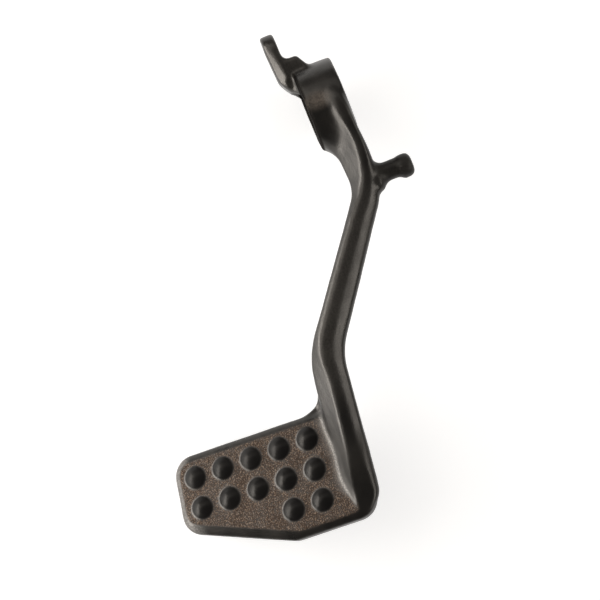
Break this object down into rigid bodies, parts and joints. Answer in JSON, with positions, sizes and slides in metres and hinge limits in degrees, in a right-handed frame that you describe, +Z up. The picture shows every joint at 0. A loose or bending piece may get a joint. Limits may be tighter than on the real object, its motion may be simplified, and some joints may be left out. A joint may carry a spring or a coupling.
{
  "type": "motorcycle rear brake pedal",
  "caption": "Black cast foot pedal: a studded pad on a bent arm, a bushed pivot hub, a lug with an eye for the master-cylinder clevis and a side post for the return spring.",
  "frame": {"origin": "middle of the pivot bore, on its axis", "axes": "+X from the foot pad towards the clevis lug, rearward on the machine; +Y along the pivot axis, to the machine's outer side, where the pad is; +Z up, the side that the sole presses"},
  "size_m": [0.2025, 0.146, 0.0437],
  "materials": {
    "coated_casting": "semi-gloss black coating over a fine-grained casting",
    "bush_metal": "turned bronze, satin"
  },
  "bodies": {
    "root": {"brake_pedal": "coated_casting", "pivot_bush": "bush_metal"}
  },
  "joints": []
}
